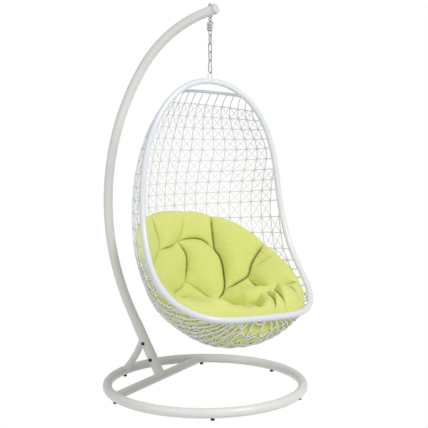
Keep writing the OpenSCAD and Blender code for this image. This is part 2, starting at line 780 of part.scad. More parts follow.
// Thin closed skin with the shape of the woven shell, open towards the front
// and over the back rail.
shell_rows = 26;
shell_cols = 28;
shell_last_v = 0.985;
module woven_shell() {
    mid = [for (i = [0:shell_rows]) [for (j = [0:shell_cols])
        shell_at(shell_last_v*i/shell_rows, -1 + 2*j/shell_cols)]];
    outer = [for (row = mid) each [for (p = row) to_xyz(toward_seat(p, -weave_t/2))]];
    inner = [for (row = mid) each [for (p = row) to_xyz(toward_seat(p, weave_t/2))]];
    n = len(outer);
    wide = shell_cols + 1;
    top = [for (j = [0:shell_cols]) j];
    right = [for (i = [1:shell_rows]) i*wide + shell_cols];
    bottom = [for (j = [shell_cols - 1:-1:0]) shell_rows*wide + j];
    left = [for (i = [shell_rows - 1:-1:1]) i*wide];
    edge = concat(top, right, bottom, left);
    faces = concat(
        [for (i = [0:shell_rows - 1], j = [0:shell_cols - 1])
            let (a = i*wide + j, b = a + wide) each [
                [a, b + 1, a + 1], [a, b, b + 1],
                [n + a, n + a + 1, n + b + 1], [n + a, n + b + 1, n + b]]],
        [for (m = [0:len(edge) - 1])
            let (p = edge[m], q = edge[(m + 1)%len(edge)]) each [
                [p, n + q, n + p], [p, q, n + q]]]);
    color("#e6e8e8") placed() at_basket() polyhedron(concat(outer, inner), faces);
}

// ------------------------------------------------------------------- cushion
// The cushion lies on the shell like a round quilt.  A place on it is a share
// of its radius and an angle, 0 towards the top of the back.
pad_rings = 13;
pad_spokes = 44;
pad_mid_v = 0.655;
pad_half_v = 0.335;
pad_half_t = 0.965;
pad_square = 2.4;
seat_v = 0.76;
seat_spread = 0.14;
// Sewn tufts as [up, right, share of the full depth] on the unit disc
tufts = [
    [-0.04, 0.08, 1], [0.33, 0.55, 0.9], [0.64, 0.31, 0.8], [0.78, -0.04, 0.6], [0.36, -0.18, 0.8],
    [0.66, -0.38, 0.7], [0.02, 0.68, 0.8], [0.28, -0.74, 0.8], [-0.1, -0.42, 0.7],
    [-0.52, -0.3, 0.6], [-0.58, 0.12, 0.6], [-0.5, 0.5, 0.6], [-0.3, -0.72, 0.5]
];
tuft_spread = 0.13;
function seat_share(v) = exp(-pow((v - seat_v)/seat_spread, 2));
function pad_place(rho, a) =
    let (k = pow(pow(abs(cos(a)), pad_square) + pow(abs(sin(a)), pad_square), -1/pad_square))
    [pad_mid_v - pad_half_v*rho*k*cos(a), pad_half_t*rho*k*sin(a)];
function tuft_sum(up, right, i = 0) =
    i == len(tufts) ? 0 :
    tufts[i][2]*exp(-(pow(up - tufts[i][0], 2) + pow(right - tufts[i][1], 2))/pow(tuft_spread, 2))
    + tuft_sum(up, right, i + 1);
// side is 1 on the seat's surface, -1 on the side that lies in the basket
function pad_point(rho, a, side) =
    let (vt = pad_place(rho, a), full = pad_t + pad_seat_t*seat_share(vt[0]),
         crown = sqrt(max(0, 1 - pow(rho, 6))),
         dip = side > 0 ? tuft_depth*min(1, tuft_sum(rho*cos(a), rho*sin(a)))*crown : 0)
    to_xyz(toward_seat(shell_at(vt[0], vt[1]),
        weave_t/2 + pad_gap + full/2*(1 + side*crown) - dip));

module cushion() {
    spokes = [for (s = [0:pad_spokes - 1]) 360*s/pad_spokes];
    seat_side = [for (r = [1:pad_rings - 1], a = spokes) pad_point(r/pad_rings, a, 1)];
    back_side = [for (r = [1:pad_rings - 1], a = spokes) pad_point(r/pad_rings, a, -1)];
    rim_side = [for (a = spokes) pad_point(1, a, 1)];
    points = concat([pad_point(0, 0, 1), pad_point(0, 0, -1)], seat_side, rim_side, back_side);
    s0 = 2;
    b0 = s0 + pad_rings*pad_spokes;
    // First vertex of ring r on either side; the outermost ring is shared
    function seat_ring(r) = s0 + (r - 1)*pad_spokes;
    function back_ring(r) = r == pad_rings ? seat_ring(r) : b0 + (r - 1)*pad_spokes;
    faces = [for (j = [0:pad_spokes - 1])
        let (k = (j + 1)%pad_spokes) each concat(
            [[0, seat_ring(1) + j, seat_ring(1) + k], [1, back_ring(1) + k, back_ring(1) + j]],
            [for (r = [1:pad_rings - 1]) each
                let (a = seat_ring(r), b = seat_ring(r + 1), c = back_ring(r), d = back_ring(r + 1)) [
                    [a + j, b + k, a + k], [a + j, b + j, b + k],
                    [c + j, c + k, d + k], [c + j, d + k, d + j]]])];
    color("#d6de7e") placed() at_basket() polyhedron(points, faces);
}

// ------------------------------------------------------------------ assembly
base_ring();
cross_member();
ring_feet();
mast_socket();
rear_brace();
mast();
mast_end_cap();
mast_bolts();
mast_bolt_nuts();
bolt_caps();
eye_bolt();
saddle_washers();
dome_nut();
upper_drawbar();
spring();
lower_drawbar();
chain_link_1();
chain_link_2();
chain_link_3();
carabiner();
carabiner_gate();
gate_pin();
basket_eye();
rim_tube();
back_rail();
woven_shell();
cushion();
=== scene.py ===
"""Dresses a hanging egg chair: a netted basket with a lime cushion on a curved stand.

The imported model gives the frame.  Every piece is built in metres in the model's own
frame: +Z is up, -Y is the stand's front and the mast stands at +Y.
"""
import json
import logging
import math
from dataclasses import dataclass, field
from enum import Enum
from functools import cached_property

import bmesh
import bpy
import numpy as np
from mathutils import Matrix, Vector


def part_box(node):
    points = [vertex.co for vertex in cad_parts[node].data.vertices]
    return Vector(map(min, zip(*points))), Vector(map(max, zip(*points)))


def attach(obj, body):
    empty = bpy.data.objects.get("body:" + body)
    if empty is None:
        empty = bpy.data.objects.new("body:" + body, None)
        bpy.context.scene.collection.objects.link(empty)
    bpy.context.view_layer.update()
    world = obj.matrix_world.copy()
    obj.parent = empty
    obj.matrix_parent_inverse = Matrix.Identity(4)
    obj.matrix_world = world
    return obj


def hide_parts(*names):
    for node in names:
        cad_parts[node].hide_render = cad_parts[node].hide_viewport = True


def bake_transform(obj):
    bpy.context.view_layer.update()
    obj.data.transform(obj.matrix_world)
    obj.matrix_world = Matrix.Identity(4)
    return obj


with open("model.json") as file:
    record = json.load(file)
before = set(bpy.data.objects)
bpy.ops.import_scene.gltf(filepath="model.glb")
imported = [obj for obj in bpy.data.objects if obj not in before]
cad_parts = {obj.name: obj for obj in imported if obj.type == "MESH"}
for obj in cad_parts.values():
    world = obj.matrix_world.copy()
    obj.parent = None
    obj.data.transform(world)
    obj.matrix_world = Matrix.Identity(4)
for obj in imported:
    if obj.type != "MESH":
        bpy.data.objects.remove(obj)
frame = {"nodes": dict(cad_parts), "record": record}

LOG = logging.getLogger("egg_chair")
MM = 0.001


class Body(str, Enum):
    """The moving bodies that new pieces ride on."""

    UPPER = "upper_drawbar"
    LOWER = "lower_drawbar"
    BASKET = "basket"
    CUSHION = "cushion"


# --------------------------------------------------------------------------- colour
def srgb(hex_code: str) -> tuple[float, float, float, float]:
    """Turns an sRGB hex code into the linear colour that shaders use.

    Args:
        hex_code: six hex digits, with or without a leading hash.

    Returns:
        Linear red, green and blue, and full opacity.
    """
    digits = hex_code.lstrip("#")
    parts = [int(digits[i : i + 2], 16) / 255 for i in (0, 2, 4)]
    line = [c / 12.92 if c <= 0.04045 else ((c + 0.055) / 1.055) ** 2.4 for c in parts]
    return (line[0], line[1], line[2], 1.0)


# ---------------------------------------------------------------------- basket shape
@dataclass(frozen=True)
class BasketShape:
    """The basket's form, in millimetres of the model's own construction.

    A basket point is [x to the right of somebody looking in, forward, drop below the
    top of the rim].  The same values shape the model's rim and shell.
    """

    harmonics: tuple[float, ...] = (529.8, 160.8, 84.3, 78.9, 1.9, 5.4, 3.9, -3.7)
    lean: float = math.radians(15.8)
    bow: float = -5.84e-4
    sweep: float = 5.76e-7
    heading: float = math.radians(26.3)
    roll: float = math.radians(3)
    rim_radius: float = 15.0
    top_z: float = 1633.82
    hook_reach: float = 31.0
    fan_drop: float = 880.0
    rail_rise: float = 18.0
    rail_top: float = 52.0
    rail_fade: float = 250.0
    round_top: float = 0.35
    round_lip: float = -2.4
    past_lip: tuple[float, float] = (-20.0, -90.0)
    seat_air: tuple[float, float, float] = (0.0, 180.0, 850.0)

    @cached_property
    def knots(self) -> np.ndarray:
        """Middle line of the shell from the back rail to the lip, as forward and drop."""
        _, forward, drop = self.rim(np.array(math.pi))
        return np.array(
            [
                (-100, 52), (-197, 190), (-269, 359), (-315, 597), (-287, 800), (-211, 975),
                (-68, 1184), (111, 1281), (301, 1323), (460, 1268), (forward, drop),
            ],
            float,
        )

    def rim(self, angle: np.ndarray) -> tuple[np.ndarray, np.ndarray, np.ndarray]:
        """Places on the rim's middle line.

        The outline is a sum of cosines about a centre, and the plane that it lies in
        leans forwards and is bowed by a square and a cube of the length down it.

        Args:
            angle: turn from the rim's top, to the right.

        Returns:
            Half width, forward and drop.
        """
        radius = sum(h * np.cos(i * angle) for i, h in enumerate(self.harmonics))
        down = sum(self.harmonics) - radius * np.cos(angle)
        off = self.bow * down**2 + self.sweep * down**3
        return (
            radius * np.sin(angle),
            down * math.sin(self.lean) + off * math.cos(self.lean),
            down * math.cos(self.lean) - off * math.sin(self.lean),
        )

    @cached_property
    def upper_rim(self) -> tuple[np.ndarray, np.ndarray]:
        """Drops and angles down the rim's upper part."""
        angles = np.linspace(0, math.radians(125), 501)
        return self.rim(angles)[2], angles

    def rim_angle(self, drop: np.ndarray) -> np.ndarray:
        """Outline angle of the rim's upper part at a drop, by interpolation."""
        return np.interp(drop, *self.upper_rim)

    def profile(self, v: np.ndarray) -> np.ndarray:
        """Middle line of the shell: a uniform cubic through every knot.

        Args:
            v: share of the knots, 0 at the back rail and 1 at the lip.

        Returns:
            Forward and drop on the last axis.
        """
        knots = self.knots
        p = np.vstack([2 * knots[0] - knots[1], knots, knots[-1] + np.array(self.past_lip)])
        n = len(knots) - 1
        x = np.clip(np.asarray(v, float) * n, 0, n - 1e-9)
        i = np.floor(x).astype(int)
        t = (x - i)[..., None]
        a, b, c, d = p[i], p[i + 1], p[i + 2], p[i + 3]
        square = (2 * a - 5 * b + 4 * c - d) * t**2
        cube = (3 * b - a - 3 * c + d) * t**3
        return 0.5 * (2 * b + (c - a) * t + square + cube)

    @cached_property
    def fan_v(self) -> float:
        """First place on the middle line that lies below the level rows."""
        v = np.linspace(0, 1, 501)
        return float(v[np.argmax(self.profile(v)[:, 1] >= self.fan_drop)])

    def point(self, v: np.ndarray, t: np.ndarray) -> np.ndarray:
        """Shell points.

        Each row is a mix of a circular arc and a half ellipse between its two places
        on the rim, through the middle line.  The rows are level down to fan_v, and
        fan out from there to the lip.

        Args:
            v: share of the middle line, from the rail to the lip.
            t: share of a row, from the left rim (-1) to the right (1).

        Returns:
            Basket points on the last axis.
        """
        v, t = np.broadcast_arrays(np.asarray(v, float), np.asarray(t, float))
        mid = self.profile(v)
        start = self.fan_v
        u = np.clip((v - start) / (1 - start), 0, 1)
        drop = mid[..., 1]
        level = drop + self.rail_rise * np.clip(1 - (drop - self.rail_top) / self.rail_fade, 0, 1)
        fan = self.rim_angle(self.fan_drop)
        upper = self.rim_angle(np.minimum(level, self.fan_drop))
        half, fwd, low = self.rim(np.where(v < start, upper, fan + (math.pi - fan) * u))
        half = np.maximum(half, 1e-6)
        away = mid - np.stack([fwd, low], -1)
        deep = np.maximum(np.linalg.norm(away, axis=-1), 1e-6)
        away = away / deep[..., None]
        radius = (half**2 + deep**2) / (2 * deep)
        half_a = 2 * np.arctan2(deep, half)
        mix = self.round_top + (self.round_lip - self.round_top) * u**2 * (3 - 2 * u)
        arc_x = (1 - mix) * radius * np.sin(half_a * t)
        arc_s = (1 - mix) * radius * (np.cos(half_a * t) - np.cos(half_a))
        x = arc_x + mix * half * np.sin(t * math.pi / 2)
        s = arc_s + mix * deep * np.cos(t * math.pi / 2)
        return np.stack([x, fwd + away[..., 0] * s, low + away[..., 1] * s], -1)

    def inward(self, p: np.ndarray, depth: np.ndarray | float) -> np.ndarray:
        """Moves basket points towards the middle of the seat's air by depth."""
        to = np.array(self.seat_air) - p
        return p + to / np.linalg.norm(to, axis=-1, keepdims=True) * np.asarray(depth)[..., None]

    @cached_property
    def centre(self) -> Vector:
        """Middle of the base ring, which the basket's points are measured from."""
        lo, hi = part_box("base_ring")
        return (Vector(lo) + Vector(hi)) / 2

    def place(self, p: np.ndarray) -> np.ndarray:
        """Rolls, turns and hangs basket points in the model's frame.

        Args:
            p: basket points in millimetres.

        Returns:
            Model points in metres.
        """
        x, y, z = p[..., 0], -p[..., 1], -p[..., 2]
        cos, sin = math.cos(self.roll), math.sin(self.roll)
        x, z = x * cos + z * sin, z * cos - x * sin
        cos, sin = math.cos(self.heading), math.sin(self.heading)
        x, y = x * cos + y * sin, y * cos - x * sin
        return np.stack(
            [
                x * MM + self.centre.x,
                (y - self.hook_reach) * MM + self.centre.y,
                (z + self.top_z) * MM,
            ],
            -1,
        )


SHAPE = BasketShape()


# --------------------------------------------------------------------------- meshing
@dataclass
class MeshData:
    """Vertices, faces and per-corner texture coordinates that add up piece by piece."""

    points: list[np.ndarray] = field(default_factory=list)
    quads: list[np.ndarray] = field(default_factory=list)
    uvs: list[np.ndarray] = field(default_factory=list)
    tags: list[np.ndarray] = field(default_factory=list)
    count: int = 0

    def add_grid(self, grid: np.ndarray, uv: np.ndarray, tag: np.ndarray | float = 0.0) -> None:
        """Adds a grid of points as quads, joined round its second axis.

        Args:
            grid: points by row and column.
            uv: texture points by row and column, with one more column than the grid.
            tag: one value for all points, or one for each.
        """
        rows, cols = grid.shape[:2]
        i, j = np.meshgrid(np.arange(rows - 1), np.arange(cols), indexing="ij")
        k = (j + 1) % cols
        a, b, c, d = i * cols + j, (i + 1) * cols + j, (i + 1) * cols + k, i * cols + k
        faces = np.stack([a, b, c, d], -1).reshape(-1, 4)
        self.points.append(grid.reshape(-1, 3))
        self.quads.append(faces + self.count)
        self.tags.append(np.broadcast_to(tag, (rows, cols)).ravel())
        self.count += rows * cols
        corner = np.stack([uv[i, j], uv[i + 1, j], uv[i + 1, j + 1], uv[i, j + 1]], 2)
        self.uvs.append(corner.reshape(-1, 2))

    def cap(self, ring: np.ndarray, flip: bool) -> None:
        """Closes a tube's end with a fan of quads.

        Args:
            ring: the end's points, an even count.
            flip: whether the faces are wound the other way.
        """
        n = len(ring)
        self.points.append(ring)
        half = [(0, i, i + 1, i + 2) for i in range(1, n - 2, 2)]
        faces = np.array([f[::-1] if flip else f for f in half])
        self.quads.append(faces + self.count)
        self.tags.append(np.zeros(n))
        self.count += n
        self.uvs.append(np.zeros((len(faces) * 4, 2)))

    def build(self, name: str) -> bpy.types.Object:
        """Makes the object, smooth-shaded, with its place in its mesh.

        Args:
            name: the piece's name.

        Returns:
            The linked object.
        """
        verts = np.concatenate(self.points).astype(np.float32)
        quads = np.concatenate(self.quads).astype(np.int32)
        uvs = np.concatenate(self.uvs).astype(np.float32)
        mesh = bpy.data.meshes.new(name)
        mesh.vertices.add(len(verts))
        mesh.vertices.foreach_set("co", verts.ravel())
        mesh.loops.add(quads.size)
        mesh.loops.foreach_set("vertex_index", quads.ravel())
        mesh.polygons.add(len(quads))
        mesh.polygons.foreach_set("loop_start", np.arange(0, quads.size, 4, dtype=np.int32))
        mesh.polygons.foreach_set("use_smooth", np.ones(len(quads), bool))
        mesh.uv_layers.new(name="UVMap").uv.foreach_set("vector", uvs.ravel())
        tag = mesh.attributes.new("tag", "FLOAT", "POINT")
        tag.data.foreach_set("value", np.concatenate(self.tags).astype(np.float32))
        mesh.update(calc_edges=True)
        mesh.validate()
        obj = bpy.data.objects.new(name, mesh)
        bpy.context.scene.collection.objects.link(obj)
        return obj


def frames_along(path: np.ndarray) -> tuple[np.ndarray, np.ndarray]:
    """Directions square to a path at each point, carried along without twist.

    Each point's first direction is the last point's, less its part along the new tangent.

    Args:
        path: points along an open path.

    Returns:
        Two unit directions for each point.
    """
    tangent = np.gradient(path, axis=0)
    tangent /= np.linalg.norm(tangent, axis=1, keepdims=True)
    side = np.cross(tangent[0], [0.0, 0.0, 1.0])
    if np.linalg.norm(side) < 0.2:
        side = np.cross(tangent[0], [0.0, 1.0, 0.0])
    first = np.empty_like(path)
    for i, way in enumerate(tangent):
        side = side - way * side.dot(way)
        side /= np.linalg.norm(side)
        first[i] = side
    return first, np.cross(tangent, first)


def sweep(
    data: MeshData, path: np.ndarray, radius: float | np.ndarray, sides: int, tag: float = 0.0
) -> None:
    """Adds an open tube with capped ends along a path.

    The texture runs along the tube in metres and once round it.

    Args:
        data: the mesh that the tube is added to.
        path: points in metres.
        radius: one radius, or one for each point.
        sides: an even count of flats round the tube.
        tag: the tube's tag.
    """
    first, second = frames_along(path)
    turn = np.arange(sides) * 2 * math.pi / sides
    radius = np.broadcast_to(np.asarray(radius, float), (len(path),))
    cos, sin = np.cos(turn)[None, :, None], np.sin(turn)[None, :, None]
    ring = cos * first[:, None] + sin * second[:, None]
    grid = path[:, None] + ring * radius[:, None, None]
    run = np.r_[0, np.cumsum(np.linalg.norm(np.diff(path, axis=0), axis=1))]
    uv = np.stack(np.meshgrid(run, np.linspace(0, 1, sides + 1), indexing="ij"), -1)
    data.add_grid(grid, uv, tag)
    data.cap(grid[0], True)
    data.cap(grid[-1], False)


# ------------------------------------------------------------------------- materials
@dataclass(frozen=True)
class Finish:
    """One surface finish: its colour and how it takes light."""

    colour: str
    shade: str
    roughness: float
    metallic: float = 0.0
    coat: float = 0.0
    grain_mm: float = 3.0
    bump: float = 0.1
    bump_mm: float = 0.05


FINISHES: dict[str, Finish] = {
    # Powder-coated steel: an even warm white with a soft gloss and a faint orange peel
    "stand_white": Finish("#EFEFEB", "#E7E7E3", 0.34, coat=0.25, grain_mm=2.2, bump=0.06, bump_mm=0.03),
    # The same coat on the basket's tubes, in a cooler white
    "basket_white": Finish("#E9ECF1", "#E0E4EA", 0.32, coat=0.25, grain_mm=2.2, bump=0.06, bump_mm=0.03),
    # Thinly coated spring wire: a greyer white with a little of the steel's sheen
    "spring_white": Finish("#D9DCE0", "#C3C7CC", 0.38, metallic=0.15, grain_mm=1.5),
    # Zinc-plated steel: bright grey metal with soft reflections
    "zinc_steel": Finish("#C9CCD0", "#A9ADB3", 0.30, metallic=0.9, grain_mm=1.2, bump=0.08, bump_mm=0.02),
    # Plain bolt steel: darker and duller than the zinc
    "bolt_steel": Finish("#8E9196", "#75787E", 0.38, metallic=0.9, grain_mm=1.2),
    # Moulded rubber: matt black
    "black_rubber": Finish("#1E1F21", "#161618", 0.78, grain_mm=0.8, bump=0.3, bump_mm=0.05),
    # Moulded polyethylene: satin black
    "black_cap": Finish("#17181A", "#101012", 0.55, grain_mm=0.8, bump=0.2, bump_mm=0.04),
    # Moulded polyethylene: satin pale grey
    "cap_grey": Finish("#DADDE1", "#CDD1D6", 0.42, grain_mm=1.2, bump=0.15, bump_mm=0.03),
}


class Nodes:
    """A thin helper that adds shader nodes and links them by name."""

    def __init__(self, name: str) -> None:
        """Makes an empty node material.

        Args:
            name: the material's name.
        """
        self.material = bpy.data.materials.new(name)
        self.material.use_nodes = True
        self.tree = self.material.node_tree
        self.tree.nodes.clear()

    def add(
        self, kind: str, links: dict[str | int, object] | None = None, **values: object
    ) -> bpy.types.Node:
        """Adds a node, sets its properties, and sets or links its inputs.

        Args:
            kind: the node's type, without the ShaderNode prefix.
            links: input name or index to a value, or to the socket that feeds it.
            **values: the node's own properties.

        Returns:
            The new node.
        """
        node = self.tree.nodes.new("ShaderNode" + kind)
        for key, value in values.items():
            setattr(node, key, value)
        for key, value in (links or {}).items():
            socket = node.inputs[key]
            if isinstance(value, bpy.types.NodeSocket):
                self.tree.links.new(value, socket)
            else:
                socket.default_value = value
        return node

    def finish(self, shader: bpy.types.NodeSocket) -> bpy.types.Material:
        """Links the shader to the output and returns the material."""
        self.add("OutputMaterial", {"Surface": shader})
        return self.material


def coated_metal(name: str, finish: Finish) -> bpy.types.Material:
    """Powder coat, zinc or moulded plastic: soft mottling and a fine grain.

    Args:
        name: the material's name.
        finish: its colours and response.

    Returns:
        The material.
    """
    n = Nodes(name)
    place = n.add("TexCoord").outputs["Object"]
    # Slow drift of tone over some 90 mm, as a sprayed coat has
    drift = n.add("TexNoise", {"Vector": place, "Scale": 1 / 0.09, "Detail": 2.0}).outputs["Fac"]
    mixed = {"Factor": drift, "A": srgb(finish.colour), "B": srgb(finish.shade)}
    tone = n.add("Mix", mixed, data_type="RGBA")
    # Fine grain, the coat's orange peel or the cast skin
    peel = {"Vector": place, "Scale": 1 / (finish.grain_mm * MM), "Detail": 3.0}
    grain = n.add("TexNoise", peel).outputs["Fac"]
    bump = n.add("Bump", {"Height": grain, "Strength": finish.bump, "Distance": finish.bump_mm * MM})
    rough = n.add(
        "MapRange",
        {"Value": grain, "To Min": finish.roughness - 0.04, "To Max": finish.roughness + 0.06},
    ).outputs["Result"]
    shader = n.add(
        "BsdfPrincipled",
        {
            "Base Color": tone.outputs["Result"],
            "Metallic": finish.metallic,
            "Roughness": rough,
            "Coat Weight": finish.coat,
            "Coat Roughness": 0.2,
            "Normal": bump.outputs["Normal"],
        },
    )
    return n.finish(shader.outputs["BSDF"])


def resin_strand() -> bpy.types.Material:
    """Extruded resin strand: pale grey-white, darker at the ties, faint draw lines.

    Returns:
        The material.
    """
    n = Nodes("weave_grey")
    uv = n.add("UVMap", uv_map="UVMap").outputs["UV"]
    place = n.add("TexCoord").outputs["Object"]
    tag = n.add("Attribute", attribute_name="tag", attribute_type="GEOMETRY").outputs["Fac"]
    # Tone drifts from strand to strand over some 60 mm
    drift = n.add("TexNoise", {"Vector": place, "Scale": 1 / 0.06, "Detail": 2.0}).outputs["Fac"]
    strand = n.add("Mix", {"Factor": drift, "A": srgb("#F6F7F8"), "B": srgb("#E9EBED")}, data_type="RGBA")
    tone = n.add(
        "Mix", {"Factor": tag, "A": strand.outputs["Result"], "B": srgb("#A4A9AC")}, data_type="RGBA"
    )
    # Draw lines run along the strand: a dozen ridges round it
    split = n.add("SeparateXYZ", {"Vector": uv})
    turns = n.add("Math", {0: split.outputs["Y"], 1: 12 * 2 * math.pi}, operation="MULTIPLY")
    ridge = n.add("Math", {0: turns.outputs["Value"]}, operation="SINE").outputs["Value"]
    bump = n.add("Bump", {"Height": ridge, "Strength": 0.15, "Distance": 0.0001})
    shader = n.add(
        "BsdfPrincipled",
        {
            "Base Color": tone.outputs["Result"],
            "Roughness": 0.45,
            "Normal": bump.outputs["Normal"],
        },
    )
    return n.finish(shader.outputs["BSDF"])


def cushion_cloth() -> bpy.types.Material:
    """Lime woven polyester: 0.9 mm threads, and painted shade in the creases.

    The painted crease shade comes from the mesh's own tag, 1 at the bottom of a sewn line.

    Returns:
        The material.
    """
    n = Nodes("cushion_lime")
    uv = n.add("UVMap", uv_map="UVMap").outputs["UV"]
    place = n.add("TexCoord").outputs["Object"]
    tag = n.add("Attribute", attribute_name="tag", attribute_type="GEOMETRY").outputs["Fac"]
    pitch = 2 * math.pi / 0.0018
    split = n.add("SeparateXYZ", {"Vector": uv})
    heights = []
    for axis in ("X", "Y"):
        scaled = n.add("Math", {0: split.outputs[axis], 1: pitch}, operation="MULTIPLY").outputs["Value"]
        heights.append(n.add("Math", {0: scaled}, operation="SINE").outputs["Value"])
    # Warp and weft ride over each other where the product of the two waves changes sign
    weave = n.add("Math", {0: heights[0], 1: heights[1]}, operation="MULTIPLY").outputs["Value"]
    # Slubs and dye drift over some 25 mm
    drift = n.add("TexNoise", {"Vector": place, "Scale": 1 / 0.025, "Detail": 4.0}).outputs["Fac"]
    base = n.add("Mix", {"Factor": drift, "A": srgb("#E4E88C"), "B": srgb("#DBE07C")}, data_type="RGBA")
    # Painted shade: the tag darkens the cloth towards olive along the creases of the sewn lines
    tone = n.add("Mix", {"Factor": tag, "A": base.outputs["Result"], "B": srgb("#5A5E08")}, data_type="RGBA")
    thread = n.add("MapRange", {"Value": weave, "From Min": -1.0, "To Min": 0.95, "To Max": 1.03})
    dyed = n.add(
        "Mix",
        {"Factor": 1.0, "A": tone.outputs["Result"], "B": thread.outputs["Result"]},
        data_type="RGBA",
        blend_type="MULTIPLY",
    )
    bump = n.add("Bump", {"Height": weave, "Strength": 0.25, "Distance": 0.0003})
    # Soft puckers of the cover over some 18 mm
    pucker = n.add("TexNoise", {"Vector": place, "Scale": 1 / 0.018, "Detail": 3.0}).outputs["Fac"]
    soft = n.add(
        "Bump", {"Height": pucker, "Strength": 0.3, "Distance": 0.0015, "Normal": bump.outputs["Normal"]}
    )
    shader = n.add(
        "BsdfPrincipled",
        {
            "Base Color": dyed.outputs["Result"],
            "Roughness": 0.85,
            "Sheen Weight": 0.35,
            "Sheen Roughness": 0.5,
            "Sheen Tint": srgb("#F4F8C0"),
            "Normal": soft.outputs["Normal"],
        },
    )
    return n.finish(shader.outputs["BSDF"])


class Palette:
    """The finishes as materials, each made once."""

    def __init__(self) -> None:
        """Makes every material."""
        self.made = {name: coated_metal(name, finish) for name, finish in FINISHES.items()}
        self.made["weave_grey"] = resin_strand()
        self.made["cushion_lime"] = cushion_cloth()

    def paint(self, obj: bpy.types.Object, slot: str) -> None:
        """Gives an object the finish of a slot, and logs it.

        Args:
            obj: the piece or CAD node.
            slot: its material slot.
        """
        obj.data.materials.clear()
        obj.data.materials.append(self.made[slot])
        LOG.info("%s: %s", obj.name, slot)


@dataclass
class Workshop:
    """What every sub-assembly needs: the model's nodes, their slots and the palette."""

    nodes: dict[str, bpy.types.Object]
    slots: dict[str, str]
    palette: Palette

    def keep(self, *names: str) -> None:
        """Paints CAD nodes whose shape is already right."""
        for name in names:
            self.palette.paint(self.nodes[name], self.slots[name])

    def put(self, obj: bpy.types.Object, body: Body, slot: str, *replaced: str) -> bpy.types.Object:
        """Sets a piece riding on a body, and finishes it."""
        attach(obj, body.value)
        return self.finish(obj, slot, *replaced)

    def finish(self, obj: bpy.types.Object, slot: str, *replaced: str) -> bpy.types.Object:
        """Paints a piece, and lets it stand for CAD nodes.

        Args:
            obj: the new piece.
            slot: its material slot.
            *replaced: the CAD nodes that it stands for.

        Returns:
            The same piece.
        """
        self.palette.paint(obj, slot)
        if replaced:
            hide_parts(*replaced)
        return obj


# ------------------------------------------------------------------------------ stand
@dataclass
class Stand:
    """Base ring, mast and what holds them together."""

    shop: Workshop

    def build(self) -> None:
        """Paints the CAD pieces, whose shapes stay."""
        self.shop.keep(
            "base_ring", "cross_member", "ring_feet", "mast_socket", "rear_brace", "mast",
            "mast_end_cap", "mast_bolts", "mast_bolt_nuts", "bolt_caps",
        )


# ----------------------------------------------------------------------------- hanger
@dataclass
class Hanger:
    """Eye bolt, drawbars, spring, chain and carabiner."""

    shop: Workshop
    outer: float = 34 * MM
    wire: float = 5 * MM
    turns: int = 5
    flat_turns: float = 0.25
    bottom: float = 1889.17 * MM
    length: float = 39 * MM

    def build(self) -> None:
        """Paints the CAD pieces and winds a smooth spring in place of the faceted one."""
        self.shop.keep(
            "eye_bolt", "saddle_washers", "dome_nut", "upper_drawbar", "lower_drawbar",
            "chain_link_1", "chain_link_2", "chain_link_3", "carabiner", "carabiner_gate",
            "gate_pin",
        )
        self.spring()

    def spring(self) -> None:
        """One unbroken coil: a steady rise, with the first and last quarter turn flat."""
        lo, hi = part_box("spring")
        centre = (Vector(lo) + Vector(hi)) / 2
        turn = np.linspace(0, self.turns, self.turns * 36 + 1)
        rising = self.turns - 2 * self.flat_turns
        rise = (self.length - self.wire) / rising
        radius = (self.outer - self.wire) / 2
        path = np.stack(
            [
                centre.x + radius * np.cos(2 * math.pi * turn),
                centre.y + radius * np.sin(2 * math.pi * turn),
                self.bottom + self.wire / 2 + rise * np.clip(turn - self.flat_turns, 0, rising),
            ],
            -1,
        )
        data = MeshData()
        sweep(data, path, self.wire / 2, 14)
        coil = self.shop.finish(data.build("spring_coil"), "spring_white", "spring")
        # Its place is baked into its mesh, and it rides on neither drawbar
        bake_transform(coil)


